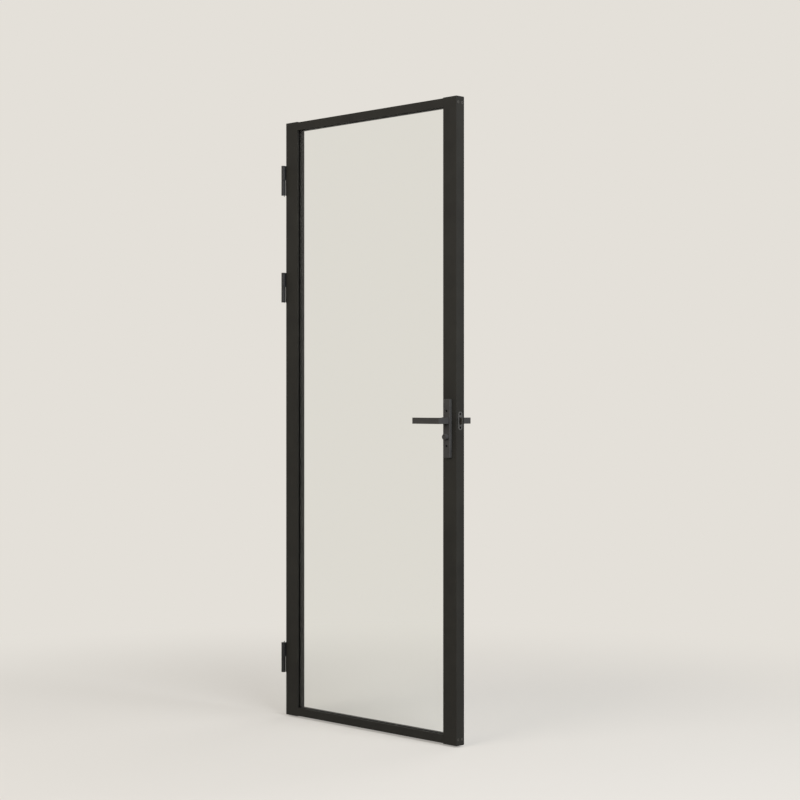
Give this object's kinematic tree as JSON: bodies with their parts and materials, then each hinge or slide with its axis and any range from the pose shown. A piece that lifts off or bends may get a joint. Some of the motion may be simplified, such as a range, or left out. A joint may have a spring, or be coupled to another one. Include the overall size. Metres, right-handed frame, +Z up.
{
  "type": "framed glass door leaf",
  "caption": "Glass door leaf in a slim black aluminium frame, open at an angle on lift-off hinges, with lever handles on long plates, a privacy turn and a bevelled latch.",
  "frame": {"origin": "centre of the lower wall hinge plate's four screw holes, on the face of the plate that lies against the side of the opening", "axes": "+X along the wall from the hinges into the opening, +Y into the wall away from the side the leaf opens to, +Z up; the leaf is modelled standing 45 degrees open"},
  "size_m": [0.6496, 0.6441, 2.09],
  "materials": {
    "frame_coat": "satin powder coat, warm near-black",
    "hardware_coat": "satin black coat",
    "glass": "clear toughened glass, polished",
    "seal_rubber": "matt black EPDM rubber",
    "cap_plastic": "moulded black nylon",
    "faceplate_coat": "satin dark grey, a shade lighter than the frame",
    "black_screw": "black zinc plated",
    "dark_screw": "black oxide",
    "plain_steel": "bright zinc plated",
    "latch_steel": "black nickel plated"
  },
  "bodies": {
    "wall_side": {"lower_wall_hinge": "hardware_coat", "lower_hinge_pin": "plain_steel", "lower_hinge_washer": "cap_plastic", "middle_wall_hinge": "hardware_coat", "middle_hinge_pin": "plain_steel", "middle_hinge_washer": "cap_plastic", "upper_wall_hinge": "hardware_coat", "upper_hinge_pin": "plain_steel", "upper_hinge_washer": "cap_plastic"},
    "leaf": {"hinge_stile": "frame_coat", "lock_stile": "frame_coat", "top_rail": "frame_coat", "bottom_rail": "frame_coat", "hinge_stile_bottom_cap": "cap_plastic", "hinge_stile_top_cap": "cap_plastic", "lock_stile_bottom_cap": "cap_plastic", "lock_stile_top_cap": "cap_plastic", "corner_screws": "black_screw", "glass_pane": "glass", "hinge_side_gasket": "seal_rubber", "lock_side_gasket": "seal_rubber", "bottom_gasket": "seal_rubber", "top_gasket": "seal_rubber", "lock_edge_seal": "seal_rubber", "front_handle_plate": "hardware_coat", "back_handle_plate": "hardware_coat", "handle_plate_bolts": "dark_screw", "latch_faceplate": "faceplate_coat", "faceplate_screws": "dark_screw", "latch_bracket": "plain_steel", "latch_case": "plain_steel", "lower_door_hinge": "hardware_coat", "lower_hinge_screws": "black_screw", "lower_hinge_backing": "plain_steel", "middle_door_hinge": "hardware_coat", "middle_hinge_screws": "black_screw", "middle_hinge_backing": "plain_steel", "upper_door_hinge": "hardware_coat", "upper_hinge_screws": "black_screw", "upper_hinge_backing": "plain_steel"},
    "lever": {"front_lever": "hardware_coat", "back_lever": "hardware_coat", "lever_spindle": "plain_steel", "lever_grub_screws": "dark_screw", "latch_follower": "plain_steel"},
    "latch": {"latch_bolt": "latch_steel"},
    "turn": {"turn_knob": "hardware_coat", "turn_spindle": "plain_steel", "coin_release": "hardware_coat"}
  },
  "joints": [
    {"name": "leaf_swing", "type": "hinge", "parent": "wall_side", "child": "leaf", "pos_m": [0, -0.023, 0], "axis": [0, 0, -1], "range_deg": [-45, 125]},
    {"name": "lever_turn", "type": "hinge", "parent": "leaf", "child": "lever", "pos_m": [0.58159, -0.56853, 0.8425], "axis": [-0.7071, -0.7071, 0], "range_deg": [0, 45], "stiffness_Nm_per_rad": 1.2, "springref_deg": -34.38},
    {"name": "latch_slide", "type": "slide", "parent": "leaf", "child": "latch", "axis": [-0.7071, 0.7071, 0], "range_m": [0, 0.0105]},
    {"name": "privacy_turn", "type": "hinge", "parent": "leaf", "child": "turn", "pos_m": [0.58159, -0.56853, 0.7905], "axis": [0.7071, 0.7071, 0], "range_deg": [0, 90]}
  ],
  "couplings": [
    {"joint": "latch_slide", "follows": "lever_turn", "m_per_rad": 0.013369}
  ]
}
